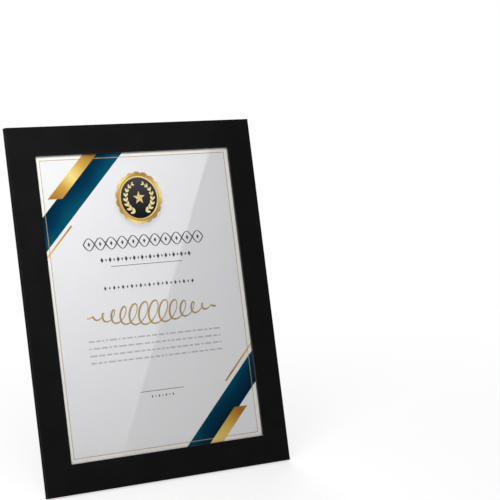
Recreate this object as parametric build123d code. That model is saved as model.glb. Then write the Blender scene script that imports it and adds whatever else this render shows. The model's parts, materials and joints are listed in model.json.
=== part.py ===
from build123d import *
import math
import os

# Certificate frame of black board: a front board with a window, a pocket for one sheet, and a back
# board with two die-cut easel legs, one for standing upright and one for standing on a long side.
# It stands upright here, on its bottom edge and the toe of its portrait leg.
#
# Millimetres. Every piece is drawn flat first: X to the right seen from the front, Z up the board,
# and Y from front to back, with 0 on the back board's outer face. At the end all of it leans back.

# Sheet and the borders round it
sheet_width = 215.9
sheet_height = 279.4
sheet_thickness = 0.25
sheet_side_overlap = 6.95
sheet_end_overlap = 2.7
border_width = 26.5

# Boards
front_thickness = 2.0
back_thickness = 2.0
liner_thickness = 0.5
board_edge_round = 0.3
inner_inset = 1.0

# Window film and the tape that holds it
film_thickness = 0.25
film_top_overlap = 12.0
tape_width = 6.0
tape_thickness = 0.1

# Clearances
sheet_side_gap = 0.8
sheet_slide_gap = 0.15
film_side_gap = 0.5
film_foot_gap = 0.2
die_gap = 0.3
leg_liner_gap = 0.05

# Easel legs, cut from the back board: a right triangle with a rounded toe, creased along one side
leg_hinge_length = 122.0
leg_foot_width = 104.0
leg_toe_radius = 10.5
leg_apex_radius = 4.0
leg_spacing = 24.5
portrait_leg_lift = 23.0
landscape_leg_lift = 31.0
portrait_leg_open = 90.0
landscape_leg_open = 30.0

# Tongues of the back board that reach over each crease into the leg
tongue_width = 36.0
tongue_depth = 19.0
tongue_corner_radius = 9.0
tongue_corner_share = 0.9
tongue_from_apex = 61.0

# Hanging holes
hang_hole_diameter = 8.0
hang_hole_inset = 20.0

# Sizes that follow from those above
window_width = sheet_width - 2 * sheet_side_overlap
window_height = sheet_height - 2 * sheet_end_overlap
frame_width = window_width + 2 * border_width
frame_height = window_height + 2 * border_width
middle_z = frame_height / 2
sheet_bottom_z = middle_z - sheet_height / 2
pocket_half_width = sheet_width / 2 + sheet_side_gap
pocket_depth = tape_thickness + film_thickness + sheet_thickness + 2 * sheet_slide_gap

liner_back_y = -back_thickness
liner_front_y = liner_back_y - liner_thickness
front_back_y = liner_front_y - pocket_depth
film_back_y = front_back_y + tape_thickness + film_thickness
sheet_back_y = liner_front_y - sheet_slide_gap

portrait_apex_z = portrait_leg_lift + leg_hinge_length
landscape_hinge_z = portrait_apex_z + leg_spacing
landscape_apex_x = frame_width / 2 - landscape_leg_lift - leg_hinge_length


def rectangle(left, bottom, right, top):
    """A rectangle in X and Z, given by its edges."""
    return Pos((left + right) / 2, (bottom + top) / 2) * Rectangle(right - left, top - bottom)


def board(outline, back_y, thickness):
    """A flat piece with this outline in X and Z, whose back face lies at back_y."""
    return extrude(Plane.XZ.offset(-back_y) * outline, thickness, dir=(0, -1, 0))


def pressed(panel, outward):
    """Rounds the edges of the panel's outer face a little, as the cutting die presses them."""
    return fillet(panel.faces().sort_by(outward)[-1].edges(), board_edge_round)


def leg_outline():
    """The leg lying closed: x runs away from its crease, y along the crease from the apex to the foot."""
    apex = (0, 0)
    heel = (0, leg_hinge_length)
    toe = (leg_foot_width, leg_hinge_length)
    triangle = make_face(Polyline(apex, toe, heel, close=True))
    rounded = fillet(triangle.vertices().sort_by_distance((*toe, 0))[0], leg_toe_radius)
    return fillet(rounded.vertices().sort_by_distance((*apex, 0))[0], leg_apex_radius)


def tongue_outline(gap=0.0):
    """The tongue astride the crease, grown all round by gap."""
    largest_radius = tongue_corner_share * min(tongue_depth, tongue_width / 2)
    radius = min(tongue_corner_radius, largest_radius)
    shape = RectangleRounded(2 * (tongue_depth + gap), tongue_width + 2 * gap, radius + gap)
    return Pos(0, tongue_from_apex) * shape


def on_portrait_crease(outline):
    """Lays a leg's outline on the back board, with its crease on the upright centre line."""
    return Pos(0, portrait_apex_z) * Rot(0, 0, 180) * outline


def on_landscape_crease(outline):
    """Lays a leg's outline on the back board the other way round, with its crease across the board."""
    turned = Rot(0, 0, -90) * mirror(outline, about=Plane.YZ)
    return Pos(landscape_apex_x, landscape_hinge_z) * turned


def front_panel():
    """Front board with its window."""
    outer = rectangle(-frame_width / 2, 0, frame_width / 2, frame_height)
    window = Pos(0, middle_z) * Rectangle(window_width, window_height)
    return pressed(board(outer - window, front_back_y, front_thickness), -Axis.Y)


def window_film():
    """Clear film behind the window, down to the strip at the foot of the pocket."""
    half_width = pocket_half_width - film_side_gap
    top = middle_z + window_height / 2 + film_top_overlap
    outline = rectangle(-half_width, sheet_bottom_z + film_foot_gap, half_width, top)
    return board(outline, film_back_y, film_thickness)


def film_tape(side):
    """One strip of double-sided tape between the film and the front board: left, right or top."""
    half_width = pocket_half_width - film_side_gap
    inside = half_width - tape_width
    bottom = sheet_bottom_z + film_foot_gap
    top = middle_z + window_height / 2 + film_top_overlap
    outlines = {
        "left": rectangle(-half_width, bottom, -inside, top),
        "right": rectangle(inside, bottom, half_width, top),
        "top": rectangle(-inside, top - tape_width, inside, top),
    }
    return board(outlines[side], front_back_y + tape_thickness, tape_thickness)


def certificate():
    """The sheet, standing on the strip at the foot of the pocket."""
    outline = rectangle(-sheet_width / 2, sheet_bottom_z, sheet_width / 2, sheet_bottom_z + sheet_height)
    return board(outline, sheet_back_y, sheet_thickness)


def spacer(side):
    """One of the three strips that join the boards and leave the pocket open at the top."""
    outside = frame_width / 2 - inner_inset
    top = frame_height - inner_inset
    outlines = {
        "left": rectangle(-outside, inner_inset, -pocket_half_width, top),
        "right": rectangle(pocket_half_width, inner_inset, outside, top),
        "bottom": rectangle(-pocket_half_width, inner_inset, pocket_half_width, sheet_bottom_z),
    }
    return board(outlines[side], liner_front_y, pocket_depth)


def liner_sheet():
    """Black card that closes the cut-outs of the back board from inside."""
    half_width = frame_width / 2 - inner_inset
    outline = rectangle(-half_width, inner_inset, half_width, frame_height - inner_inset)
    return board(outline, liner_back_y, liner_thickness)


def back_panel():
    """Back board with both leg cut-outs, their tongues and the two hanging holes."""
    outline = rectangle(-frame_width / 2, 0, frame_width / 2, frame_height)
    cut_out = offset(leg_outline(), die_gap) - tongue_outline()
    outline -= on_portrait_crease(cut_out)
    outline -= on_landscape_crease(cut_out)
    hole = Circle(hang_hole_diameter / 2)
    upright_hole = Pos(0, frame_height - hang_hole_inset) * hole
    sideways_hole = Pos(hang_hole_inset - frame_width / 2, middle_z) * hole
    panel = pressed(board(outline, 0, back_thickness), Axis.Y)
    return panel - board(upright_hole + sideways_hole, 0, back_thickness)


def leg(on_crease):
    """A leg lying flush in its cut-out and clear of the liner, with room left for the tongue."""
    outline = on_crease(leg_outline() - tongue_outline(die_gap))
    return pressed(board(outline, 0, back_thickness - leg_liner_gap), Axis.Y)


def portrait_easel():
    """The leg in use, folded out about the upright crease on the outer face."""
    return Rot(0, 0, -portrait_leg_open) * leg(on_portrait_crease)


def landscape_easel():
    """The spare leg, lifted partway about the crease across the board."""
    crease = Pos(0, 0, landscape_hinge_z)
    return crease * Rot(-landscape_leg_open, 0, 0) * crease.inverse() * leg(on_landscape_crease)


def lean_angle():
    """How far the frame leans back when its rounded bottom edge and the leg's toe share the floor."""
    toe_angle = math.atan2(leg_hinge_length, leg_foot_width)
    toe_centre_out = leg_foot_width - leg_toe_radius / math.tan(toe_angle / 2)
    toe_centre_up = portrait_leg_lift + leg_toe_radius
    out = toe_centre_out + board_edge_round
    up = toe_centre_up - board_edge_round
    floor_slope = math.asin((leg_toe_radius - board_edge_round) / math.hypot(out, up))
    return math.degrees(math.atan2(up, out) - floor_slope)


pieces = {
    "front_panel": front_panel(),
    "window_film": window_film(),
    "certificate": certificate(),
    "liner_sheet": liner_sheet(),
    "back_panel": back_panel(),
    "portrait_easel": portrait_easel(),
    "landscape_easel": landscape_easel(),
}
for side in ("left", "right", "top"):
    pieces[f"film_tape_{side}"] = film_tape(side)
for side in ("left", "right", "bottom"):
    pieces[f"{side}_spacer"] = spacer(side)

lean = lean_angle()
leaning = {name: Rot(-lean, 0, 0) * piece for name, piece in pieces.items()}
boxes = [piece.bounding_box() for piece in leaning.values()]
front_y = min(box.min.Y for box in boxes)
back_y = max(box.max.Y for box in boxes)
floor_z = min(box.min.Z for box in boxes)
to_origin = Pos(0, -(front_y + back_y) / 2, -floor_z)

os.makedirs("parts", exist_ok=True)
for name, piece in leaning.items():
    export_step(to_origin * piece, f"parts/{name}.step")

print(f"leans back {lean:.4f} degrees")
print(f"moved {to_origin.position.Y:.4f} mm along Y and {to_origin.position.Z:.4f} mm along Z")
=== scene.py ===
import json
import math
from functools import partial

import bmesh
import bpy
from bpy.props import FloatProperty, FloatVectorProperty, IntProperty, PointerProperty
from mathutils import Matrix, Vector


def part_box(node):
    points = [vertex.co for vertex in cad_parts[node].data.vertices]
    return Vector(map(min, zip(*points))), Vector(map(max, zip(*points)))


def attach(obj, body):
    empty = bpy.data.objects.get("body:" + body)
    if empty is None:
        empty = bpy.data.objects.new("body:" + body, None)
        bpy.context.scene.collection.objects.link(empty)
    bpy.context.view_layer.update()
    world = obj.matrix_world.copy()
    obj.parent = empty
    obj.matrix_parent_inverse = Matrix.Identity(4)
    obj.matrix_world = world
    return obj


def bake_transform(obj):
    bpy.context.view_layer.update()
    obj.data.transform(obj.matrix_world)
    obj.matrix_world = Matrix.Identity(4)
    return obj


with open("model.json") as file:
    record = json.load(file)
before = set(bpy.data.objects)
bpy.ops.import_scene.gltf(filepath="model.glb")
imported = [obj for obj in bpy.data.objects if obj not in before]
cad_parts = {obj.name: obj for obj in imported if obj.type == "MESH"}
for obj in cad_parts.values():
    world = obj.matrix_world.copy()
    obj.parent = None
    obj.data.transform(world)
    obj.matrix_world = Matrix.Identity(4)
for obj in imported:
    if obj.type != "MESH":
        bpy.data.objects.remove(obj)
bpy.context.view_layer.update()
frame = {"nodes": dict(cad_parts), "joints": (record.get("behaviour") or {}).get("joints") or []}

bl_info = {
    "name": "Certificate Frame",
    "version": (1, 0, 0),
    "blender": (4, 5, 0),
    "location": "3D View > Sidebar > Certificate Frame",
    "description": "Finishes, printed sheet and studio for a black board certificate frame",
    "category": "Object",
}

# Metres, in the frame's own axes: X to the right seen from the front, Y from front to back, Z up.
MM = 0.001

# The board's own directions: up along it, across it, and outward through its window
joints = {joint["name"]: joint for joint in frame["joints"]}
up = Vector(joints["certificate_slide"]["axis"]).normalized()
across = Vector((1.0, 0.0, 0.0))
outward = Vector((0.0, -up.z, up.y))
lean = math.atan2(up.y, up.z)


def flat_size(node):
    """The width, height and thickness of a flat piece that leans, and its middle, worked out from its box."""
    low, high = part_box(node)
    span = high - low
    lean_share = up.z * up.z - up.y * up.y
    height = (span.z * up.z - span.y * up.y) / lean_share
    thickness = (span.y * up.z - span.z * up.y) / lean_share
    return span.x, height, thickness, (low + high) / 2


# The sheet, the middle of its printed face, and the boards round it
sheet_width, sheet_height, sheet_thickness, sheet_inside = flat_size("certificate")
sheet_middle = sheet_inside + outward * (sheet_thickness / 2)
on_sheet = Matrix.Translation(sheet_middle) @ Matrix((across, up, outward)).transposed().to_4x4()
board_width, board_height = flat_size("front_panel")[:2]

# Rise over run of the bands across the sheet's corners
band_slope = 0.975

# How far the boards' darker outer edges reach inwards
rim_depth = 0.6 * MM

# Each crease: the direction it runs in, and the way from it to the board. The leg lies on its other side.
creases = {"portrait": (up, across), "landscape": (across, -up)}

# The strips of facing on each crease, either side of its tongue: their ends along it, from its middle
crease_strips = {"lower": (-57.5 * MM, -18.9 * MM), "upper": (18.9 * MM, 57.5 * MM)}

# What a node's type may start with
node_families = ("ShaderNode", "GeometryNode", "FunctionNode", "")
white = (1.0, 1.0, 1.0, 1.0)


def leg_directions(name):
    """A leg as it stands, lifted from its closed place: away from its crease, and out of its outer face."""
    board_way = creases[name][1]
    lifted = math.radians(-joints[f"{name}_leg_fold"]["range_deg"][0])
    leg_way = -math.cos(lifted) * board_way - math.sin(lifted) * outward
    leg_out = math.sin(lifted) * board_way - math.cos(lifted) * outward
    return leg_way, leg_out


def linear(hex_colour):
    """A colour written as sRGB hex, in linear light with an alpha of 1."""
    channels = [int(hex_colour[place:place + 2], 16) / 255 for place in (1, 3, 5)]
    light = [value / 12.92 if value <= 0.04045 else ((value + 0.055) / 1.055) ** 2.4 for value in channels]
    return (*light, 1.0)


def scaled(shade, share):
    """A colour made darker or lighter, with an alpha of 1."""
    return [share * part for part in shade[:3]] + [1.0]


def length(name, millimetres, description):
    """A size that a user may change, given in millimetres and kept in metres."""
    settings = {"precision": 5, "unit": "LENGTH", "subtype": "DISTANCE"}
    return FloatProperty(name=name, description=description, default=millimetres * MM, **settings)


def colour(name, hex_colour, description):
    """A colour that a user may change."""
    settings = {"size": 4, "min": 0.0, "max": 1.0, "subtype": "COLOR"}
    return FloatVectorProperty(name=name, description=description, default=linear(hex_colour), **settings)


def angle(name, degrees, description):
    """An angle that a user may change."""
    settings = {"unit": "ROTATION", "subtype": "ANGLE"}
    return FloatProperty(name=name, description=description, default=math.radians(degrees), **settings)


class BoardSettings(bpy.types.PropertyGroup):
    """Finish of the boards, the cards and the window film."""

    face_dark: colour("Facing, dark", "#111112", "Darker clouds of the black facing on the front")
    face_light: colour("Facing, light", "#141415", "Lighter clouds of the black facing on the front")
    # The back and the legs take the front's facing drawn lighter: painted light, standing in for the sheen
    # that light from above and behind gives the same paper.
    lit_back_dark: colour("Back, dark", "#161618", "Darker clouds of the facing on the back and the legs")
    lit_back_light: colour("Back, light", "#1a1a1c", "Lighter clouds of the facing on the back and the legs")
    core: colour("Cut edge", "#464647", "Core of the board where the die cut it")
    # The outer edges are drawn darker than the cut edges, near the face's tone.
    rim: colour("Outer edge", "#161617", "Outer edges of the boards, inked black")
    card: colour("Card", "#101011", "Black card inside the frame")
    film: colour("Film", "#fefefe", "Tint of the clear film")
    tape: colour("Tape", "#e9e7dc", "Double-sided tape")
    tooth: length("Tooth", 0.9, "Grain of the facing")
    cloud: length("Clouds", 16.0, "Size of the faint clouds in the facing")
    fibre: length("Core fibre", 0.5, "Fibres in the cut edge")
    crease_reach: length("Crease reach", 0.9, "How far the bent facing shows on each side of a crease")
    facing: length("Facing", 0.04, "Thickness of the facing over a crease")


class PrintSettings(bpy.types.PropertyGroup):
    """Sizes and colours of the sheet and its print. Places are measured from the sheet's middle."""

    paper: colour("Paper", "#e4e4e6", "Sheet inside the border line")
    # The margin's warm tint is print; its extra lightness is painted light that offsets the shade the
    # window's edge casts on it.
    margin: colour("Margin", "#f4f1ec", "Sheet outside the border line")
    shade: colour("Shade", "#b4b3b8", "Printed shade under the seal")
    navy_dark: colour("Navy, dark", "#00263b", "Outer side of the dark corner bands")
    navy: colour("Navy", "#00344f", "Middle of the dark corner bands")
    teal: colour("Teal", "#005168", "Inner side of the dark corner bands")
    gold_dark: colour("Gold, dark", "#a5742b", "Gold at the ends of its bands")
    gold: colour("Gold", "#cba047", "Gold between its light and dark parts")
    gold_light: colour("Gold, light", "#efd985", "Gold at its brightest")
    seal_dark: colour("Seal gold, dark", "#a98345", "Gold of the seal where it is darkest")
    seal_gold: colour("Seal gold", "#ccaa60", "Gold of the seal between its light and dark parts")
    line_gold: colour("Line gold", "#b0996c", "Border line, and the middle of the pen loops")
    disc: colour("Disc", "#1c1b1f", "Lower part of the seal's disc")
    disc_light: colour("Disc, light", "#45444b", "Upper part of the seal's disc")
    leaf: colour("Leaf", "#f0e0a2", "Laurel and star on the seal")
    pen_gold: colour("Pen gold", "#b8995a", "Pen loops")
    dark_ink: colour("Dark ink", "#4c4c4f", "Ornament and rules")
    light_ink: colour("Light ink", "#b9b9bc", "Lines of text")

    ink: length("Ink", 0.013, "Thickness of one layer of ink")
    border_side: length("Border, side", 10.95, "Border line, from the sheet's side edges")
    border_end: length("Border, end", 6.7, "Border line, from the sheet's ends")
    border_line: length("Border line", 0.58, "Width of the border line")
    seal_height: length("Seal height", 94.6, "Seal's middle, above the sheet's middle")
    seal_radius: length("Seal radius", 24.5, "Seal, to the tips of its scallops")
    scallop_depth: length("Scallop depth", 1.5, "Depth of the seal's scallops")
    scallops: IntProperty(name="Scallops", description="Scallops round the seal", default=18, min=3)
    ring_radius: length("Ring radius", 21.3, "Dark ring on the seal")
    rim_radius: length("Rim radius", 20.2, "Bright rim round the disc")
    disc_radius: length("Disc radius", 19.0, "Dark disc of the seal")
    branch_radius: length("Branch radius", 13.9, "Stems of the laurel branches")
    leaf_pairs: IntProperty(name="Leaf pairs", description="Pairs of leaves on a branch", default=8, min=2)
    leaf_length: length("Leaf length", 5.3, "Lowest leaf of a branch")
    leaf_width: length("Leaf width", 2.35, "Lowest leaf of a branch")
    star_radius: length("Star radius", 6.4, "Star in the middle of the seal")
    title_height: length("Title height", 55.0, "Title ornament's middle, above the sheet's middle")
    title_width: length("Title width", 126.0, "Title ornament's width")
    name_height: length("Name height", -11.0, "Pen loops' middle, above the sheet's middle")
    name_width: length("Name width", 136.0, "Pen loops' width")


class StageSettings(bpy.types.PropertyGroup):
    """Camera, light and floor."""

    azimuth: angle("Azimuth", -33.51, "Camera's turn round the object, from the front to the right")
    elevation: angle("Elevation", 9.52, "Camera's height over the horizon")
    roll: angle("Roll", 1.38, "Camera's turn about its own view")
    distance: length("Distance", 1699.1, "Camera to the point that it aims at")
    aim_right: length("Aim, right", 114.56, "Middle of the view, to the right of the sheet's middle")
    aim_back: length("Aim, back", 11.84, "Middle of the view, behind the sheet's middle")
    aim_up: length("Aim, up", 36.33, "Middle of the view, above the sheet's middle")
    lens: FloatProperty(
        name="Lens", description="Focal length", default=128.62, min=1.0,
        unit="CAMERA", subtype="DISTANCE_CAMERA",
    )
    floor: colour("Floor", "#f4f4f3", "Pale floor")
    beam_top: length("Beam edge, top", 84.0, "Where the beam's edge crosses the sheet's top, from its middle")
    beam_bottom: length("Beam edge, bottom", -50.0, "Where the beam's edge crosses the sheet's foot")


def plug(socket, given):
    """Sets a socket to a value, or links it to a socket or a node's first output. A list links several."""
    for source in given if isinstance(given, list) else [given]:
        if isinstance(source, bpy.types.Node):
            source = next(output for output in source.outputs if output.enabled)
        if isinstance(source, bpy.types.NodeSocket):
            socket.id_data.links.new(source, socket)
        else:
            socket.default_value = source


def wire(node, **sockets):
    """Links or sets a node's sockets, named with underscores for spaces."""
    for name, given in sockets.items():
        plug(node.inputs[name.replace("_", " ")], given)


def add_node(tree, kind, *inputs, stops=(), **named):
    """Adds a node. Its kind is the type without its family, with any operation after a colon; an operation
    alone is that of a Math node. Inputs follow in the order of its sockets. A name that starts with a capital
    is a socket's, any other a setting's, and stops are those of a colour ramp."""
    kind, _, operation = (f"Math:{kind}" if kind.isupper() else kind).partition(":")
    family = next(family for family in node_families if hasattr(bpy.types, family + kind))
    made = tree.nodes.new(family + kind)
    sockets = {name: given for name, given in named.items() if name[0].isupper()}
    if operation:
        made.operation = operation
    for name, value in named.items():
        if name not in sockets:
            setattr(made, name, value)
    shown = [socket for socket in made.inputs if socket.enabled]
    for index, given in enumerate(inputs):
        plug(shown[index], given)
    wire(made, **sockets)
    for index, (place, shade) in enumerate(stops):
        element = made.color_ramp.elements[index] if index < 2 else made.color_ramp.elements.new(place)
        element.position = place
        element.color = shade
    return made


def new_material(name):
    """A material, what adds nodes to it, and its shader."""
    made = bpy.data.materials.new(name)
    made.use_nodes = True
    return made, partial(add_node, made.node_tree), made.node_tree.nodes["Principled BSDF"]


def surface(material, shader):
    """Makes a shader the material's surface."""
    plug(material.node_tree.nodes["Material Output"].inputs["Surface"], shader)


def sheet_place(add):
    """Object coordinates turned into the sheet's own: across it, up it and out of it, from its middle."""
    turn = (math.pi / 2 - lean, 0.0, 0.0)
    spot = add("TexCoord").outputs["Object"]
    return add("Mapping", Vector=spot, Location=sheet_middle, Rotation=turn, vector_type="TEXTURE")


def outside(add, place, half_width, half_height):
    """A node that is 1 outside a rectangle round the sheet's middle, and 0 inside it."""
    parts = add("SeparateXYZ", place).outputs
    past = []
    for axis, half in (("X", half_width), ("Y", half_height)):
        away = add("ABSOLUTE", parts[axis])
        past.append(add("GREATER_THAN", away, half))
    return add("MAXIMUM", *past)


def graded(add, value, low, high, stops):
    """A colour that runs through these stops as a value goes from low to high."""
    share = add("MapRange", value, low, high, 0.0, 1.0)
    return add("ValToRGB", share, stops=stops)


def faced_board(name, plate_normal, look, dark, light):
    """Black faced board, die cut. The paper facing is matte and faintly cloudy, with a fine tooth that breaks
    up the light; the cut-outs' edges show the core, greyer than the face, and the outer edges are drawn
    darker."""
    made, add, shader = new_material(name)
    place = add("TexCoord").outputs
    spot = place["Object"]
    # The real tooth is about 0.2 mm, too fine to show, so it is drawn coarser.
    tooth = add("TexNoise", Vector=spot, Scale=1 / look.tooth, Detail=3.0)
    clouds = add("TexNoise", Vector=spot, Scale=1 / look.cloud, Detail=3.0)
    fibres = add("TexNoise", Vector=spot, Scale=1 / look.fibre, Detail=4.0)
    face = add("ValToRGB", clouds, stops=[(0.35, dark), (0.7, light)])
    core = add("ValToRGB", fibres, stops=[(0.3, scaled(look.core, 0.6)), (0.7, look.core)])
    # The outer edges are drawn darker than the cut edges.
    inked = outside(add, sheet_place(add), board_width / 2 - rim_depth, board_height / 2 - rim_depth)
    edge = add("Mix", inked, core, look.rim, data_type="RGBA")
    slope = add("VectorMath:DOT_PRODUCT", place["Normal"], plate_normal)
    flatness = add("ABSOLUTE", slope)
    cut = add("MapRange", flatness, 0.6, 0.97, 1.0, 0.0)
    tone = add("Mix", cut, face, edge, data_type="RGBA")
    sheen = add("MapRange", tooth, 0.3, 0.7, 0.52, 0.68)
    relief = add("Bump", Strength=0.35, Distance=0.05 * MM, Height=tooth)
    wire(shader, Base_Color=tone, Roughness=sheen, Normal=relief, Specular_IOR_Level=0.03)
    return made


def creased_facing(look):
    """The facing of the back where creased: matte, shades lightened as painted light, paler where stretched.
    """
    made, add, shader = new_material("black paper facing, creased")
    spot = add("TexCoord").outputs["Object"]
    fibres = add("TexNoise", Vector=spot, Scale=1 / look.fibre, Detail=3.0)
    # The back's lighter shades here are painted light; the extra paleness is the stretched facing.
    tone = add("ValToRGB", fibres, stops=[(0.35, look.lit_back_dark), (0.8, scaled(look.lit_back_light, 1.5))])
    wire(shader, Base_Color=tone, Roughness=0.65, Specular_IOR_Level=0.03)
    return made


def black_card(look):
    """Black card, dyed through and calendered: even, without the boards' clouds, and as dark on its edges."""
    made, add, shader = new_material("black card, dyed through")
    spot = add("TexCoord").outputs["Object"]
    fibres = add("TexNoise", Vector=spot, Scale=1 / look.tooth, Detail=2.0)
    tone = add("ValToRGB", fibres, stops=[(0.3, look.card), (0.75, scaled(look.card, 1.35))])
    relief = add("Bump", Strength=0.2, Distance=0.03 * MM, Height=fibres)
    wire(shader, Base_Color=tone, Normal=relief, Roughness=0.6, Specular_IOR_Level=0.04)
    return made


def clear_film(look):
    """Clear polyester film, drawn and polished: nearly invisible, with a sharp gloss that bends a little
    where the film isn't quite flat."""
    made, add, shader = new_material("clear polyester film, polished")
    made.node_tree.nodes.remove(shader)
    spot = add("TexCoord").outputs["Object"]
    waves = add("TexNoise", Vector=spot, Scale=14.0, Detail=0.0)
    relief = add("Bump", Strength=0.1, Distance=0.4 * MM, Height=waves)
    through = add("BsdfTransparent", Color=look.film)
    gloss = add("BsdfAnisotropic", Roughness=0.03, Normal=relief)
    # The gloss grows at low angles as a clear plastic's does, the same on both faces of the film.
    straight_on = 0.04
    facing = add("LayerWeight", Blend=0.5).outputs["Facing"]
    steep = add("POWER", facing, 5.0)
    share = add("MULTIPLY_ADD", steep, 1 - straight_on, straight_on)
    surface(made, add("MixShader", share, through, gloss))
    return made


def clear_tape(look):
    """Double-sided tape, a milky adhesive on film: hazy, with small bubbles in it."""
    made, add, shader = new_material("double-sided tape, milky adhesive")
    bubble_size = 1.2 * MM
    spot = add("TexCoord").outputs["Object"]
    bubbles = add("TexVoronoi", Vector=spot, Scale=1 / bubble_size)
    haze = add("MapRange", bubbles, 0.0, 0.8, 0.45, 0.75)
    wire(shader, Base_Color=look.tape, Alpha=haze, Roughness=0.4)
    return made


def certificate_paper(look):
    """Smooth coated paper, offset printed on its front: a cool white panel in a warmer margin drawn lighter
    as painted light against the window edge's shade, the soft shade that is printed under the seal, and a
    faint mottle from its fibres."""
    made, add, shader = new_material("coated paper, offset printed")
    mottle_size = 1.1 * MM
    shade_drop = 3.0 * MM
    shade_spread = 3.5 * MM
    place = sheet_place(add)
    turned_out = add("VectorMath:DOT_PRODUCT", add("TexCoord").outputs["Normal"], outward)
    front = add("GREATER_THAN", turned_out, 0.5)
    past_line = outside(add, place, sheet_width / 2 - look.border_side, sheet_height / 2 - look.border_end)
    margin = add("MULTIPLY", past_line, front)
    # The margin colour is its warm print tint, drawn lighter as painted light against the window edge's
    # shade.
    ground = add("Mix", margin, look.paper, look.margin, data_type="RGBA")
    away = add("VectorMath:DISTANCE", place, (0.0, look.seal_height - shade_drop, 0.0))
    fade_range = [away, look.ring_radius, look.seal_radius + shade_spread, 0.45, 0.0]
    fade = add("MapRange", *fade_range, interpolation_type="SMOOTHSTEP")
    shade = add("MULTIPLY", fade, front)
    shaded = add("Mix", shade, ground, look.shade, data_type="RGBA")
    fibres = add("TexNoise", Vector=place, Scale=1 / mottle_size, Detail=3.0)
    mottle = add("MapRange", fibres, 0.25, 0.75, 0.975, 1.0)
    tone = add("Mix", 1.0, shaded, mottle, data_type="RGBA", blend_type="MULTIPLY")
    relief = add("Bump", Strength=0.04, Distance=0.02 * MM, Height=fibres)
    wire(shader, Base_Color=tone, Normal=relief, Roughness=0.5, Specular_IOR_Level=0.3)
    return made


def printed(parts, tone, roughness):
    """Finishes an ink: its tone with the faint speckle of offset print, over the paper's own smoothness."""
    made, add, shader = parts
    speckle_size = 0.8 * MM
    spot = add("TexCoord").outputs["Object"]
    speckle = add("TexNoise", Vector=spot, Scale=1 / speckle_size, Detail=2.0)
    density = add("MapRange", speckle, 0.3, 0.7, 0.93, 1.0)
    inked = add("Mix", 1.0, tone, density, data_type="RGBA", blend_type="MULTIPLY")
    wire(shader, Base_Color=inked, Roughness=roughness, Specular_IOR_Level=0.06)
    return made


def plain_ink(name, shade):
    """Offset ink in one colour, nearly matte."""
    return printed(new_material(name), shade, 0.5)


def band_ink(name, direction, nearest, farthest, stops, roughness):
    """Offset ink graded over the sheet along one direction from its middle, with a slow drift that keeps the
    bands from looking flat. Both corners are alike unless the range starts below 0."""
    parts = new_material(name)
    add = parts[1]
    drift_size = 45 * MM
    drift_reach = 24 * MM
    place = sheet_place(add)
    reach = add("VectorMath:DOT_PRODUCT", place, direction)
    distance = reach if nearest < 0 else add("ABSOLUTE", reach)
    drift = add("TexNoise", Vector=place, Scale=1 / drift_size, Detail=1.0)
    lift = add("MULTIPLY_ADD", drift, drift_reach, distance)
    tone = graded(add, lift, nearest + drift_reach / 2, farthest + drift_reach / 2, stops)
    return printed(parts, tone, roughness)


def foil_ink(name, look, turns, stops):
    """Gold ink graded round the seal, as foil that catches the light on some sides and not on others."""
    parts = new_material(name)
    add = parts[1]
    first_turn = 0.8
    axes = add("SeparateXYZ", sheet_place(add)).outputs
    height = add("SUBTRACT", axes["Y"], look.seal_height)
    turn = add("ARCTAN2", height, axes["X"])
    wave = add("MULTIPLY_ADD", turn, float(turns), first_turn)
    swing = add("SINE", wave)
    return printed(parts, graded(add, swing, -1.0, 1.0, stops), 0.4)


def disc_ink(look):
    """Dark ink of the seal's disc, graded from a lighter top to a darker foot."""
    parts = new_material("offset ink, dark disc")
    add = parts[1]
    axes = add("SeparateXYZ", sheet_place(add)).outputs
    low = look.seal_height - look.disc_radius
    high = look.seal_height + look.disc_radius
    tone = graded(add, axes["Y"], low, high, [(0.1, look.disc), (0.95, look.disc_light)])
    return printed(parts, tone, 0.45)


def new_tree(name, counts, measures):
    """A Geometry Nodes tree with these counts and measures and a material as inputs: what adds nodes to it,
    and its input sockets."""
    tree = bpy.data.node_groups.new(name, "GeometryNodeTree")
    for kind, labels in (("Int", counts), ("Float", measures), ("Material", ["Material"])):
        for label in labels:
            tree.interface.new_socket(label, in_out="INPUT", socket_type=f"NodeSocket{kind}")
    tree.interface.new_socket("Geometry", in_out="OUTPUT", socket_type="NodeSocketGeometry")
    return partial(add_node, tree), tree.nodes.new("NodeGroupInput").outputs


def close_tree(add, given, geometry):
    """Ends a tree: everything real, in the given material."""
    real = add("RealizeInstances", geometry)
    inked = add("SetMaterial", Geometry=real, Material=given["Material"])
    return add("NodeGroupOutput", inked).id_data


def linked(name, data):
    """An object in the scene, made from a mesh, a lamp or a camera."""
    made = bpy.data.objects.new(name, data)
    bpy.context.scene.collection.objects.link(made)
    return made


def mesh_of(name, shape):
    """The mesh of a shape that is finished."""
    mesh = bpy.data.meshes.new(name)
    shape.to_mesh(mesh)
    shape.free()
    return mesh


def grown(tree, height, values):
    """The flat mesh that a tree makes from these values, at this height on the sheet."""
    holder = linked(tree.name, bpy.data.meshes.new(tree.name))
    modifier = holder.modifiers.new(tree.name, "NODES")
    modifier.node_group = tree
    for socket in tree.interface.items_tree:
        if socket.in_out == "INPUT":
            modifier[socket.identifier] = values[socket.name]
    bpy.context.view_layer.update()
    evaluated = holder.evaluated_get(bpy.context.evaluated_depsgraph_get())
    flat = bpy.data.meshes.new_from_object(evaluated)
    bpy.data.objects.remove(holder)
    if not flat.polygons:
        raise RuntimeError(f"{tree.name} made no faces")
    flat.transform(Matrix.Translation((0.0, height, 0.0)))
    return flat


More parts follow.
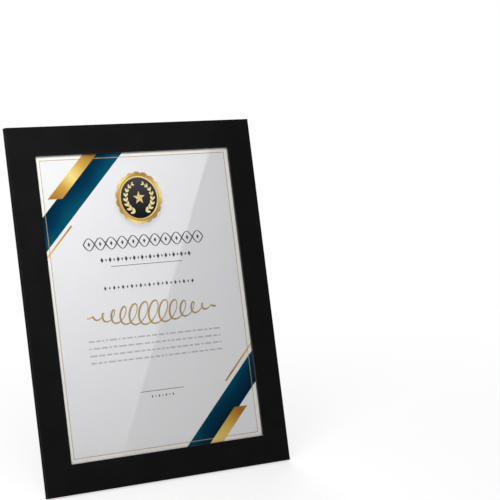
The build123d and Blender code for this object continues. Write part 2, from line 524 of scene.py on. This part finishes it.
def scalloped_plate():
    """A round plate with scallops on its edge, or a plain disc where they have no depth."""
    add, given = new_tree("scalloped plate", ["Scallops"], ["Radius", "Depth"])
    plate = add("MeshCircle", Vertices=288, Radius=given["Radius"], fill_type="NGON")
    place = add("InputPosition")
    axes = add("SeparateXYZ", place).outputs
    turn = add("ARCTAN2", axes["Y"], axes["X"])
    half = add("MULTIPLY", given["Scallops"], 0.5)
    wave = add("MULTIPLY", turn, half)
    swing = add("SINE", wave)
    bump = add("ABSOLUTE", swing)
    dip = add("SUBTRACT", 1.0, bump)
    share = add("DIVIDE", given["Depth"], given["Radius"])
    cut = add("MULTIPLY", dip, share)
    size = add("SUBTRACT", 1.0, cut)
    moved = add("VectorMath:SCALE", place, size)
    edge = add("SetPosition", Geometry=plate, Position=moved)
    return close_tree(add, given, edge)


def flat_line(add, curve, width, scale=1.0):
    """A flat line of this width along a curve, wider or narrower where the scale isn't 1."""
    ends = []
    for side in (-0.5, 0.5):
        edge = add("MULTIPLY", width, side)
        ends.append(add("CombineXYZ", edge))
    profile = add("CurvePrimitiveLine", *ends)
    return add("CurveToMesh", Curve=curve, Profile_Curve=profile, Scale=scale)


def laurel_branch():
    """A stem bent to an arc, with pairs of leaves that shrink towards its tip."""
    measures = ["Radius", "Start", "End", "Leaf Length", "Leaf Width", "Splay", "Stem"]
    add, given = new_tree("laurel branch", ["Pairs"], measures)
    # One leaf: a circle squeezed to a point at both ends, from its stalk at the origin
    disc = add("MeshCircle", Vertices=14, Radius=1.0, fill_type="NGON")
    axes = add("SeparateXYZ", add("InputPosition")).outputs
    forward = add("MULTIPLY_ADD", axes["X"], 0.5, 0.5)
    side = add("ABSOLUTE", axes["Y"])
    squeezed = add("MULTIPLY", axes["Y"], side)
    sideways = add("MULTIPLY", squeezed, 0.5)
    pointed = add("CombineXYZ", forward, sideways)
    leaf = add("SetPosition", Geometry=disc, Position=pointed)
    # Two leaves at each place along the arc, splayed to either side
    count = add("MULTIPLY", given["Pairs"], 2.0)
    row = add("MeshLine", Count=count)
    index = add("InputIndex")
    halved = add("MULTIPLY", index, 0.5)
    pair = add("FLOOR", halved)
    last = add("SUBTRACT", given["Pairs"], 1.0)
    share = add("DIVIDE", pair, last)
    turn = add("MapRange", share, 0.0, 1.0, given["Start"], given["End"])
    right = add("COSINE", turn)
    high = add("SINE", turn)
    ray = add("CombineXYZ", right, high)
    seat = add("VectorMath:SCALE", ray, given["Radius"])
    seated = add("SetPosition", Geometry=row, Position=seat)
    sweep = add("SUBTRACT", given["End"], given["Start"])
    way = add("SIGN", sweep)
    tangent = add("MULTIPLY_ADD", way, math.pi / 2, turn)
    parity = add("MODULO", index, 2.0)
    hand = add("MapRange", parity, 0.0, 1.0, -1.0, 1.0)
    aim = add("MULTIPLY_ADD", hand, given["Splay"], tangent)
    tip_size = 0.62
    shrink = add("MapRange", share, 0.0, 1.0, 1.0, tip_size)
    full = add("CombineXYZ", given["Leaf Length"], given["Leaf Width"], 1.0)
    size = add("VectorMath:SCALE", full, shrink)
    rotation = add("CombineXYZ", Z=aim)
    leaves = add("InstanceOnPoints", Points=seated, Instance=leaf, Rotation=rotation, Scale=size)
    ends = {"Start_Angle": given["Start"], "Sweep_Angle": sweep}
    arc = add("CurveArc", Resolution=48, Radius=given["Radius"], **ends)
    stem = flat_line(add, arc, given["Stem"])
    return close_tree(add, given, add("JoinGeometry", [leaves, stem]))


def along_row(add, place, count):
    """Where a point is in a row of points: from 0 to 1, and the same counted from the row's middle."""
    last = add("SUBTRACT", count, 1.0)
    share = add("DIVIDE", place, last)
    return share, add("SUBTRACT", share, 0.5)


def pen_line(add, given, points, radius):
    """A flat pen line through the tree's points, as wide as its Line input where the radius is 1."""
    curve = add("MeshToCurve", points)
    swelled = add("SetCurveRadius", Curve=curve, Radius=radius)
    return flat_line(add, swelled, given["Line"], radius)


def guilloche_band():
    """Braided waves that start and end in a knot, thick on their slopes and thin at their turns."""
    measures = ["Length", "Height", "Waves", "Line", "Lift"]
    add, given = new_tree("guilloche band", ["Strands", "Steps"], measures)
    line = add("MeshLine", Count=given["Steps"])
    seats = add("MeshLine", Count=given["Strands"])
    copies = add("InstanceOnPoints", Points=seats, Instance=line)
    strands = add("RealizeInstances", copies)
    index = add("InputIndex")
    ratio = add("DIVIDE", index, given["Steps"])
    strand = add("FLOOR", ratio)
    step = add("MODULO", index, given["Steps"])
    share, centred = along_row(add, step, given["Steps"])
    right = add("MULTIPLY", centred, given["Length"])
    offset = add("DIVIDE", strand, given["Strands"])
    cycle = add("MULTIPLY_ADD", share, given["Waves"], offset)
    phase = add("MULTIPLY", cycle, 2 * math.pi)
    swing = add("SINE", phase)
    slope = add("COSINE", phase)
    half = add("MULTIPLY", given["Height"], 0.5)
    height = add("MULTIPLY", half, swing)
    rise = add("MULTIPLY", strand, given["Lift"])
    seat = add("CombineXYZ", right, height, rise)
    waves = add("SetPosition", Geometry=strands, Position=seat)
    steep = add("ABSOLUTE", slope)
    swell = add("MapRange", steep, 0.0, 1.0, 0.5, 1.0)
    return close_tree(add, given, pen_line(add, given, waves, swell))


def pen_loops():
    """One slanting pen line of loops, tallest in the middle and dying away to both sides."""
    measures = ["Length", "Height", "Curl", "Slant", "Line", "Lift"]
    add, given = new_tree("pen loops", ["Loops", "Steps"], measures)
    line = add("MeshLine", Count=given["Steps"])
    share, centred = along_row(add, add("InputIndex"), given["Steps"])
    run = add("MULTIPLY", centred, given["Length"])
    cycle = add("MULTIPLY", centred, given["Loops"])
    phase = add("MULTIPLY", cycle, 2 * math.pi)
    swing = add("SINE", phase)
    crest = add("COSINE", phase)
    bow = add("MULTIPLY", share, math.pi)
    arch = add("SINE", bow)
    floor = add("MAXIMUM", arch, 0.0)
    taper = add("POWER", floor, 1.1)
    curl = add("MULTIPLY", taper, given["Curl"])
    back = add("MULTIPLY", curl, swing)
    upright = add("SUBTRACT", run, back)
    reach = add("MULTIPLY", given["Height"], taper)
    half = add("MULTIPLY", reach, 0.5)
    height = add("MULTIPLY", half, crest)
    right = add("MULTIPLY_ADD", height, given["Slant"], upright)
    over = add("MapRange", swing, -1.0, 1.0, 0.0, given["Lift"])
    seat = add("CombineXYZ", right, height, over)
    loops = add("SetPosition", Geometry=line, Position=seat)
    swell = add("MapRange", swing, -1.0, 1.0, 0.45, 1.0)
    return close_tree(add, given, pen_line(add, given, loops, swell))


def bead_row():
    """A row of lozenges, every second one smaller."""
    add, given = new_tree("bead row", ["Beads"], ["Length", "Bead Length", "Bead Height", "Small"])
    row = add("MeshLine", Count=given["Beads"])
    index = add("InputIndex")
    centred = along_row(add, index, given["Beads"])[1]
    right = add("MULTIPLY", centred, given["Length"])
    seat = add("CombineXYZ", right)
    seated = add("SetPosition", Geometry=row, Position=seat)
    lozenge = add("MeshCircle", Vertices=4, Radius=0.5, fill_type="NGON")
    parity = add("MODULO", index, 2.0)
    size = add("MapRange", parity, 0.0, 1.0, 1.0, given["Small"])
    full = add("CombineXYZ", given["Bead Length"], given["Bead Height"], 1.0)
    scale = add("VectorMath:SCALE", full, size)
    beads = add("InstanceOnPoints", Points=seated, Instance=lozenge, Scale=scale)
    return close_tree(add, given, beads)


def text_rows():
    """Rows of dashes of uneven length, as small text looks from a few steps away, each row the same width."""
    measures = ["Length", "Pitch", "Dash Height", "Gap"]
    add, given = new_tree("text rows", ["Rows", "Dashes", "Seed"], measures)
    total = add("MULTIPLY", given["Rows"], given["Dashes"])
    points = add("MeshLine", Count=total)
    index = add("InputIndex")
    ratio = add("DIVIDE", index, given["Dashes"])
    row = add("FLOOR", ratio)
    size = add("RandomValue", 0.35, 1.0, index, given["Seed"], data_type="FLOAT")
    tally = add("AccumulateField", size, row).outputs
    middle = add("MULTIPLY_ADD", size, 0.5, tally["Trailing"])
    share = add("DIVIDE", middle, tally["Total"])
    centred = add("SUBTRACT", share, 0.5)
    right = add("MULTIPLY", centred, given["Length"])
    down = add("MULTIPLY", row, given["Pitch"])
    height = add("MULTIPLY", down, -1.0)
    seat = add("CombineXYZ", right, height)
    seated = add("SetPosition", Geometry=points, Position=seat)
    part = add("DIVIDE", size, tally["Total"])
    width = add("MULTIPLY", part, given["Length"])
    inked = add("SUBTRACT", width, given["Gap"])
    scale = add("CombineXYZ", inked, given["Dash Height"], 1.0)
    dash = add("MeshGrid", Size_X=1.0, Size_Y=1.0, Vertices_X=2, Vertices_Y=2)
    dashes = add("InstanceOnPoints", Points=seated, Instance=dash, Scale=scale)
    return close_tree(add, given, dashes)


def flat_shape(*outlines):
    """A flat mesh with one face for each outline, given as points across and up the sheet."""
    points = []
    faces = []
    for outline in outlines:
        faces.append(range(len(points), len(points) + len(outline)))
        points += [(right, height, 0.0) for right, height in outline]
    flat = bpy.data.meshes.new("outline")
    flat.from_pydata(points, [], faces)
    return flat


def bar(width, thickness, height):
    """The outline of a plain rule across the sheet, in millimetres."""
    side = width / 2 * MM
    low = (height - thickness / 2) * MM
    high = (height + thickness / 2) * MM
    return [(-side, low), (side, low), (side, high), (-side, high)]


def reach_right(start, height):
    """How far across the sheet a slanting edge that meets its left side at start is at this height."""
    return (height - start) / band_slope - sheet_width / 2


def corner_band(low, high, cut=None):
    """A slanting band over the sheet's upper left corner, whose edges meet the sheet's left side at these
    heights, in millimetres. It runs off the top, and off the left side unless it is cut level at a height."""
    top = sheet_height / 2
    left = -sheet_width / 2
    edges = (low * MM, high * MM)
    if cut is None:
        ends = [(left, edge) for edge in edges]
    else:
        ends = [(reach_right(edge, cut * MM), cut * MM) for edge in edges]
    return [*((reach_right(edge, top), top) for edge in reversed(edges)), *ends]


def corner_line(start, thickness, tip):
    """A thin slanting line, in millimetres, that comes in from the sheet's left side at a height and ends
    this far across."""
    left = -sheet_width / 2
    half = thickness / 2 * MM
    side = Vector((-band_slope, 1.0)).normalized() * half
    rise = half * math.hypot(1.0, band_slope)
    foot = start * MM
    end = Vector((tip * MM, foot + band_slope * (tip * MM - left)))
    return [(left, foot - rise), tuple(end - side), tuple(end + side), (left, foot + rise)]


def turned(outline):
    """The same outline in the opposite corner."""
    return [(-right, -height) for right, height in outline]


def ink_on_sheet(name, ink, layer, *flats):
    """Joins flat meshes into one closed film of ink on the sheet, as high as its layer in the print."""
    thickness = bpy.context.scene.certificate_print.ink
    shape = bmesh.new()
    for flat in flats:
        shape.from_mesh(flat)
        bpy.data.meshes.remove(flat)
    bmesh.ops.remove_doubles(shape, verts=shape.verts, dist=0.0001 * MM)
    raised = bmesh.ops.extrude_face_region(shape, geom=shape.faces[:], use_keep_orig=True)
    tops = [part for part in raised["geom"] if isinstance(part, bmesh.types.BMVert)]
    bmesh.ops.translate(shape, verts=tops, vec=(0.0, 0.0, layer * thickness))
    bmesh.ops.recalc_face_normals(shape, faces=shape.faces)
    shape.transform(on_sheet)
    for face in shape.faces:
        face.material_index = 0
    piece = linked(name, mesh_of(name, shape))
    piece.data.materials.append(ink)
    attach(piece, "certificate")


def dress(finish, *nodes):
    """Gives carried-over nodes their material."""
    for node in nodes:
        slots = frame["nodes"][node].data.materials
        slots.clear()
        slots.append(finish)


class CERTIFICATE_OT_boards(bpy.types.Operator):
    """Gives the boards, cards, tape and film their finishes"""

    bl_idname = "certificate.boards"
    bl_label = "Finish boards and film"

    def execute(self, context):
        look = context.scene.certificate_boards
        front_shades = (look.face_dark, look.face_light)
        # The back panel and the legs get the lighter copy of the facing, painted light for the sheen on the
        # back.
        lit_back_shades = (look.lit_back_dark, look.lit_back_light)
        boards = [
            ("front_panel", "front", outward, front_shades),
            ("back_panel", "back", outward, lit_back_shades),
        ]
        for name in creases:
            boards.append((f"{name}_easel", f"{name} leg", leg_directions(name)[1], lit_back_shades))
        for node, label, normal, shades in boards:
            dress(faced_board(f"black faced board, die cut, {label}", normal, look, *shades), node)
        dress(black_card(look), "liner_sheet", "left_spacer", "right_spacer", "bottom_spacer")
        dress(clear_tape(look), "film_tape_left", "film_tape_right", "film_tape_top")
        dress(clear_film(look), "window_film")
        return {"FINISHED"}


class CERTIFICATE_OT_corners(bpy.types.Operator):
    """Prints the sheet's ground, its border line and the bands across two of its corners"""

    bl_idname = "certificate.corners"
    bl_label = "Print corners and border"

    def execute(self, context):
        look = context.scene.certificate_print
        dress(certificate_paper(look), "certificate")
        self.bands(look)
        self.border(look)
        return {"FINISHED"}

    def bands(self, look):
        """The dark bands, the gold bands over them and the thin lines beside them."""
        over_band = Vector((band_slope, -1.0, 0.0))
        to_left = band_slope * sheet_width / 2
        inner_side = to_left + 46 * MM
        outer_side = to_left + 76 * MM
        stops = [(0.0, look.teal), (0.5, look.navy), (1.0, look.navy_dark)]
        navy = band_ink("offset ink, navy to teal", over_band, inner_side, outer_side, stops, 0.4)
        along_band = Vector((1.0, 1.0, 0.0))
        gold_reach = 95 * MM
        stops = [
            (0.02, look.gold_light), (0.25, look.gold), (0.35, look.gold_dark), (0.54, look.gold_dark),
            (0.67, look.gold), (0.785, look.gold_light), (0.895, look.gold), (0.985, look.gold_dark),
        ]
        gold = band_ink("offset ink, gold graded along", along_band, -gold_reach, gold_reach, stops, 0.35)
        stops = [(0.0, look.gold_dark), (0.5, look.gold), (1.0, look.gold_light)]
        thin = band_ink("offset ink, gold line", along_band, 0.0, 60 * MM, stops, 0.4)
        for name, ink, layer, upper, lower in (
            ("navy_bands", navy, 1, corner_band(43.7, 74.4), corner_band(50.2, 79.6)),
            ("gold_bands", gold, 3, corner_band(69.1, 83.5, 98.0), corner_band(74.5, 88.5, 107.0)),
            ("corner_lines", thin, 2, corner_line(38.4, 1.6, -72.4), corner_line(43.6, 1.6, -68.5)),
        ):
            ink_on_sheet(name, ink, layer, flat_shape(upper, turned(lower)))

    def border(self, look):
        """The thin line round the sheet, in four sides that meet at their corners."""
        signs = [(-1, -1), (1, -1), (1, 1), (-1, 1)]
        rings = []
        for offset in (-look.border_line / 2, look.border_line / 2):
            half_width = sheet_width / 2 - look.border_side + offset
            half_height = sheet_height / 2 - look.border_end + offset
            rings.append([(x * half_width, y * half_height) for x, y in signs])
        inner, outer = rings
        sides = [[inner[i], outer[i], outer[(i + 1) % 4], inner[(i + 1) % 4]] for i in range(4)]
        ink_on_sheet("border_line", plain_ink("offset ink, pale gold", look.line_gold), 2, flat_shape(*sides))


class CERTIFICATE_OT_seal(bpy.types.Operator):
    """Prints the seal: scalloped gold, ring, rim, dark disc, laurel and star"""

    bl_idname = "certificate.seal"
    bl_label = "Print seal"

    def execute(self, context):
        look = context.scene.certificate_print
        self.rounds(look)
        leaf_ink = plain_ink("offset ink, cream gold", look.leaf)
        branch = laurel_branch()
        sizes = {
            "Pairs": look.leaf_pairs, "Radius": look.branch_radius, "Leaf Length": look.leaf_length,
            "Leaf Width": look.leaf_width, "Splay": math.radians(32), "Stem": 0.4 * MM, "Material": leaf_ink,
        }
        branches = []
        for start, end in ((247, 118), (-67, 62)):
            arc = {"Start": math.radians(start), "End": math.radians(end)}
            branches.append(grown(branch, look.seal_height, {**sizes, **arc}))
        ink_on_sheet("seal_laurel", leaf_ink, 5, *branches)
        facets = self.star_facets(look)
        star_shade = plain_ink("offset ink, star's shade", look.gold)
        ink_on_sheet("seal_star_light", leaf_ink, 5, flat_shape(*facets[0::2]))
        ink_on_sheet("seal_star_dark", star_shade, 5, flat_shape(*facets[1::2]))
        return {"FINISHED"}

    def rounds(self, look):
        """The seal's round layers, from its scalloped edge to its dark disc."""
        edge_stops = [(0.0, look.seal_dark), (0.55, look.seal_gold), (1.0, look.gold_light)]
        ring_stops = [(0.0, look.seal_dark), (1.0, look.seal_gold)]
        rim_stops = [(0.0, look.seal_gold), (0.6, look.gold_light), (1.0, look.gold_light)]
        edge = foil_ink("gold ink, seal's edge", look, 3, edge_stops)
        ring = foil_ink("gold ink, seal's ring", look, 2, ring_stops)
        rim = foil_ink("gold ink, seal's rim", look, 1, rim_stops)
        plate = scalloped_plate()
        for name, ink, layer, radius, depth in (
            ("seal_edge", edge, 1, look.seal_radius, look.scallop_depth),
            ("seal_ring", ring, 2, look.ring_radius, 0.0),
            ("seal_rim", rim, 3, look.rim_radius, 0.0),
            ("seal_disc", disc_ink(look), 4, look.disc_radius, 0.0),
        ):
            sizes = {"Scallops": look.scallops, "Radius": radius, "Depth": depth, "Material": ink}
            ink_on_sheet(name, ink, layer, grown(plate, look.seal_height, sizes))

    def star_facets(self, look):
        """The star's ten facets, each from its middle to one edge."""
        middle = (0.0, look.seal_height)
        inner_radius = 0.42 * look.star_radius
        corners = []
        for step in range(10):
            radius = inner_radius if step % 2 else look.star_radius
            turn = math.radians(90 + 36 * step)
            corners.append((radius * math.cos(turn), look.seal_height + radius * math.sin(turn)))
        return [[middle, corners[step], corners[(step + 1) % 10]] for step in range(10)]


class CERTIFICATE_OT_wording(bpy.types.Operator):
    """Prints ornament, rules and dashes where the wording would be"""

    bl_idname = "certificate.wording"
    bl_label = "Print ornament and rules"

    def execute(self, context):
        look = context.scene.certificate_print
        dark = plain_ink("offset ink, dark grey", look.dark_ink)
        light = plain_ink("offset ink, light grey", look.light_ink)
        title = {
            "Strands": 2, "Steps": 420, "Length": look.title_width, "Height": 11.0 * MM, "Waves": 5.5,
            "Line": 1.15 * MM, "Lift": 0.004 * MM, "Material": dark,
        }
        ink_on_sheet("title_guilloche", dark, 2, grown(guilloche_band(), look.title_height, title))
        ink_on_sheet("bead_rows", dark, 2, *self.bead_rows(look, dark))
        rule = 0.5
        ink_on_sheet("rules", dark, 2, flat_shape(bar(75, rule, 33.8), bar(46, rule, -82.2)))
        text_height = -32 * MM
        text = {
            "Rows": 4, "Dashes": 22, "Seed": 7, "Length": 140 * MM, "Pitch": 6.5 * MM,
            "Dash Height": 1.45 * MM, "Gap": 1.7 * MM, "Material": light,
        }
        ink_on_sheet("text_lines", light, 2, grown(text_rows(), text_height, text))
        stops = [(0.0, look.pen_gold), (0.5, look.line_gold), (1.0, look.pen_gold)]
        gold = band_ink("offset ink, pen gold", across, 0.0, 70 * MM, stops, 0.4)
        loops = {
            "Loops": 13, "Steps": 1500, "Length": look.name_width, "Height": 21 * MM, "Curl": 7.0 * MM,
            "Slant": 0.35, "Line": 1.9 * MM, "Lift": 0.006 * MM, "Material": gold,
        }
        ink_on_sheet("name_loops", gold, 2, grown(pen_loops(), look.name_height, loops))
        return {"FINISHED"}

    def bead_rows(self, look, ink):
        """The rows of lozenges: one in the loops of the title, and three on their own."""
        row = bead_row()
        loops = 11
        title_length = (loops - 1) * look.title_width / loops
        rows = []
        for height, width, count, size, small in (
            (look.title_height, title_length, loops, 4.4 * MM, 1.0),
            (40 * MM, 92 * MM, 23, 5.0 * MM, 0.6),
            (14.4 * MM, 92 * MM, 21, 4.2 * MM, 0.7),
            (-87.2 * MM, 22 * MM, 7, 2.8 * MM, 0.7),
        ):
            bead = {"Bead Length": 0.62 * size, "Bead Height": size, "Small": small, "Material": ink}
            rows.append(grown(row, height, {"Beads": count, "Length": width, **bead}))
        return rows


class CERTIFICATE_OT_creases(bpy.types.Operator):
    """Lays the board's facing over each leg's crease, bent round it from the board onto the standing leg"""

    bl_idname = "certificate.creases"
    bl_label = "Bend facing over creases"

    def execute(self, context):
        look = context.scene.certificate_boards
        facing = creased_facing(look)
        for name, (along, board_way) in creases.items():
            for side, (start, stop) in crease_strips.items():
                piece = self.strip(name, side, look, along * start, along * stop)
                piece.data.materials.append(facing)
                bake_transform(piece)
        return {"FINISHED"}

    def strip(self, name, side, look, start, stop):
        """A thin closed strip that runs from the board over the crease onto the leg."""
        board_way = creases[name][1]
        leg_way, leg_out = leg_directions(name)
        middle = Vector(joints[f"{name}_leg_fold"]["pos_m"])
        steps = 12
        glue = 0.005 * MM
        rows = []
        for step in range(steps + 1):
            turn = step / steps * math.pi / 2
            seat = board_way * math.cos(turn) ** 6 + leg_way * math.sin(turn) ** 6
            out = (leg_out * math.sin(turn) - outward * math.cos(turn)).normalized()
            foot = middle + seat * look.crease_reach + out * glue
            rows.append((foot, foot + out * look.facing))
        shape = bmesh.new()
        lower, upper = [
            [[shape.verts.new(point + shift) for point in row] for row in rows] for shift in (start, stop)
        ]
        for step in range(steps):
            low, next_low = lower[step:step + 2]
            high, next_high = upper[step:step + 2]
            for level in (0, 1):
                shape.faces.new((low[level], next_low[level], next_high[level], high[level]))
            for near, far in ((low, next_low), (high, next_high)):
                shape.faces.new((near[0], far[0], far[1], near[1]))
        for low, high in ((lower[0], upper[0]), (lower[-1], upper[-1])):
            shape.faces.new((low[0], low[1], high[1], high[0]))
        bmesh.ops.recalc_face_normals(shape, faces=shape.faces)
        title = f"{name}_crease_{side}"
        return linked(title, mesh_of(title, shape))


class CERTIFICATE_OT_stage(bpy.types.Operator):
    """Sets up the camera, the studio light and the pale floor"""

    bl_idname = "certificate.stage"
    bl_label = "Set up studio"

    def execute(self, context):
        scene = context.scene
        look = scene.certificate_stage
        scene.view_settings.view_transform = "Standard"
        self.camera(scene, look)
        self.world(scene)
        self.floor(look)
        self.lamps(look)
        self.dark_panel(scene)
        return {"FINISHED"}

    def camera(self, scene, look):
        """The camera at the photograph's angle."""
        back = Vector((
            math.cos(look.elevation) * math.sin(look.azimuth),
            -math.cos(look.elevation) * math.cos(look.azimuth),
            math.sin(look.elevation),
        ))
        aim = sheet_middle + Vector((look.aim_right, look.aim_back, look.aim_up))
        right = (-back).cross(Vector((0, 0, 1))).normalized()
        above = right.cross(-back)
        turned_right = math.cos(look.roll) * right + math.sin(look.roll) * above
        turned_above = math.cos(look.roll) * above - math.sin(look.roll) * right
        turn = Matrix((turned_right, turned_above, back)).transposed().to_4x4()
        camera = linked("camera", bpy.data.cameras.new("camera"))
        camera.data.lens = look.lens
        camera.matrix_world = Matrix.Translation(aim + back * look.distance) @ turn
        scene.camera = camera

    def shown(self, add):
        """A node that is 1 for what is seen, mirrored or seen through, and 0 for what only gives light."""
        path = add("LightPath").outputs
        seen = add("ADD", path["Is Camera Ray"], path["Is Glossy Ray"])
        return add("ADD", seen, path["Is Transmission Ray"])

    def world(self, scene):
        """White behind the object, and an even studio level for what lights it."""
        world = bpy.data.worlds.new("studio")
        world.use_nodes = True
        world.node_tree.nodes.clear()
        add = partial(add_node, world.node_tree)
        studio_level = 0.26
        level = add("Background", white, studio_level)
        backdrop = add("Background", white, 1.0)
        both = add("MixShader", self.shown(add), level, backdrop)
        add("OutputWorld", both)
        scene.world = world

    def stand(self, name, mesh, *unseen):
        """Puts a piece of the stage in the scene, hidden from these kinds of ray."""
        piece = linked(name, mesh)
        for kind in unseen:
            setattr(piece, f"visible_{kind}", False)
        return piece

    def floor(self, look):
        """A wide pale floor that fades to white away from the object."""
        made, add, shader = new_material("matte white sweep")
        near = 0.15
        far = 0.9
        near_glow = 0.65
        away = add("VectorMath:LENGTH", add("TexCoord").outputs["Object"])
        fade = add("MapRange", away, near, far, near_glow, 1.0, interpolation_type="SMOOTHSTEP")
        share = add("MULTIPLY", fade, self.shown(add))
        wire(shader, Base_Color=look.floor, Roughness=0.8, Specular_IOR_Level=0.1)
        glow = add("Emission", white, 1.0)
        surface(made, add("MixShader", share, shader, glow))
        drop = 0.2 * MM
        shape = bmesh.new()
        bmesh.ops.create_circle(shape, cap_ends=True, segments=64, radius=8.0)
        bmesh.ops.translate(shape, verts=shape.verts, vec=(0, 0, -drop))
        self.stand("floor", mesh_of("floor", shape)).data.materials.append(made)

    def lamp(self, name, kind, spot, aim, power, **settings):
        """A lamp at a spot, aimed at a point."""
        made = linked(name, bpy.data.lights.new(name, kind))
        made.data.energy = power
        for setting, value in settings.items():
            setattr(made.data, setting, value)
        made.location = spot
        made.rotation_mode = "QUATERNION"
        made.rotation_quaternion = (Vector(spot) - aim).to_track_quat("Z", "Y")

    def lamps(self, look):
        """A wide softbox overhead, a small one at the left, one behind, and a masked beam from the front."""
        middle = Vector((0.0, 0.0, 0.15))
        for name, spot, size, power in (
            ("overhead softbox", (0.0, -0.42, 1.15), 0.9, 2.9),
            ("side softbox", (-0.344, -0.305, 0.585), 0.25, 2.62),
            ("rear softbox", (0.6, 1.3, 1.2), 1.0, 23.0),
        ):
            self.lamp(name, "AREA", spot, middle, power, shape="SQUARE", size=size)
        spot = Vector((-0.3, -0.6, 0.9))
        target = on_sheet @ Vector((-12.6 * MM, 167.2 * MM, 0.0))
        beam = {"spot_size": math.radians(40.1), "spot_blend": 1.0, "shadow_soft_size": 0.05 * MM}
        self.lamp("beam", "SPOT", spot, target, 8.83, **beam)
        self.beam_mask(look, spot)

    def beam_mask(self, look, spot):
        """A plate close to the lamp. Its opening lets the beam fall on one part of the boards and the sheet,
        cut along a slanting line, and keeps it off the floor."""
        nearness = 0.9
        spare = 1 * MM
        slope = (look.beam_top - look.beam_bottom) / sheet_height
        middle = (look.beam_top + look.beam_bottom) / 2
        left = -board_width / 2 - spare
        top = board_height / 2 + spare
        foot = -top
        opening = [(left, foot), (middle + slope * foot, foot), (middle + slope * top, top), (left, top)]
        edge = [(-1.0, -1.0), (1.0, -1.0), (1.0, 1.0), (-1.0, 1.0)]
        corners = []
        for right, height in opening + edge:
            point = on_sheet @ Vector((right, height, 0.0))
            corners.append(point.lerp(spot, nearness))
        sides = [(i, (i + 1) % 4, (i + 1) % 4 + 4, i + 4) for i in range(4)]
        mesh = bpy.data.meshes.new("beam mask")
        mesh.from_pydata(corners, [], sides)
        self.stand("beam mask", mesh, "camera", "diffuse", "glossy", "transmission")

    def dark_panel(self, scene):
        """A dark panel where the film mirrors the camera's view, so that it doesn't mirror the studio."""
        distance = 1.5
        half_width = 1.6
        from_sheet = (scene.camera.location - sheet_middle).normalized()
        mirrored = 2 * from_sheet.dot(outward) * outward - from_sheet
        place = Matrix.Translation(sheet_middle + distance * mirrored)
        made, _, shader = new_material("black flocked panel")
        wire(shader, Base_Color=linear("#060606"), Specular_IOR_Level=0.0)
        shape = bmesh.new()
        bmesh.ops.create_grid(shape, x_segments=1, y_segments=1, size=half_width)
        shape.transform(place @ (-mirrored).to_track_quat("Z", "Y").to_matrix().to_4x4())
        mesh = mesh_of("dark panel", shape)
        mesh.materials.append(made)
        self.stand("dark panel", mesh, "camera", "diffuse", "transmission", "shadow")


class CERTIFICATE_PT_panel(bpy.types.Panel):
    """Lists the steps that make the certificate frame"""

    bl_idname = "CERTIFICATE_PT_panel"
    bl_label = "Certificate Frame"
    bl_space_type = "VIEW_3D"
    bl_region_type = "UI"
    bl_category = "Certificate Frame"

    def draw(self, context):
        for operator in operators:
            self.layout.operator(operator.bl_idname)


operators = (
    CERTIFICATE_OT_boards,
    CERTIFICATE_OT_corners,
    CERTIFICATE_OT_seal,
    CERTIFICATE_OT_wording,
    CERTIFICATE_OT_creases,
    CERTIFICATE_OT_stage,
)
classes = (BoardSettings, PrintSettings, StageSettings, *operators, CERTIFICATE_PT_panel)


def register():
    for cls in classes:
        bpy.utils.register_class(cls)
    bpy.types.Scene.certificate_boards = PointerProperty(type=BoardSettings)
    bpy.types.Scene.certificate_print = PointerProperty(type=PrintSettings)
    bpy.types.Scene.certificate_stage = PointerProperty(type=StageSettings)


def unregister():
    del bpy.types.Scene.certificate_stage
    del bpy.types.Scene.certificate_print
    del bpy.types.Scene.certificate_boards
    for cls in reversed(classes):
        bpy.utils.unregister_class(cls)


def main():
    register()
    bpy.ops.certificate.boards()
    bpy.ops.certificate.corners()
    bpy.ops.certificate.seal()
    bpy.ops.certificate.wording()
    bpy.ops.certificate.creases()
    bpy.ops.certificate.stage()


if __name__ == "__main__":
    main()
